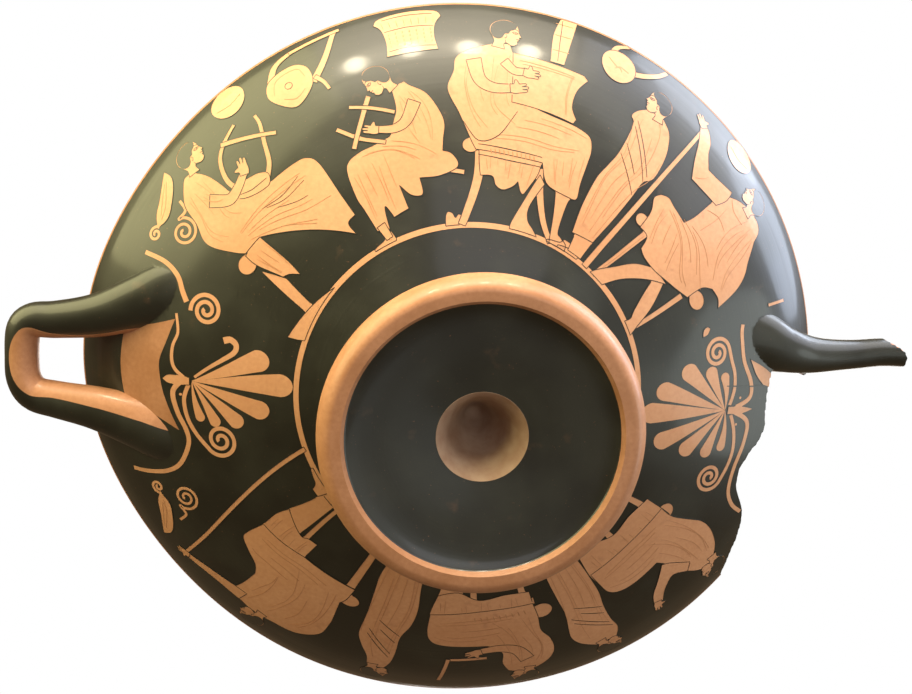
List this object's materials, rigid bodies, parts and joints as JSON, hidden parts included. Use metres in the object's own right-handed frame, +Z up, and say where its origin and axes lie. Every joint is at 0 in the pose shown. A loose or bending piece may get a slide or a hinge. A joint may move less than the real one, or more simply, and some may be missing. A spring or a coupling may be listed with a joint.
{
  "type": "greek kylix cup",
  "caption": "Wide shallow ancient Greek drinking cup in red-figure ware, on a stemmed foot, with side handles; part of the rim and of a handle is lost.",
  "frame": {"origin": "on the surface the cup stands on, under the middle of its foot", "axes": "+Z up; X along the handles, the whole handle at -X and the broken one at +X; -Y towards the better seen frieze"},
  "size_m": [0.359, 0.2851, 0.1129],
  "materials": {
    "fired_clay": "glossy"
  },
  "bodies": {
    "root": {"kylix": "fired_clay"}
  },
  "joints": []
}
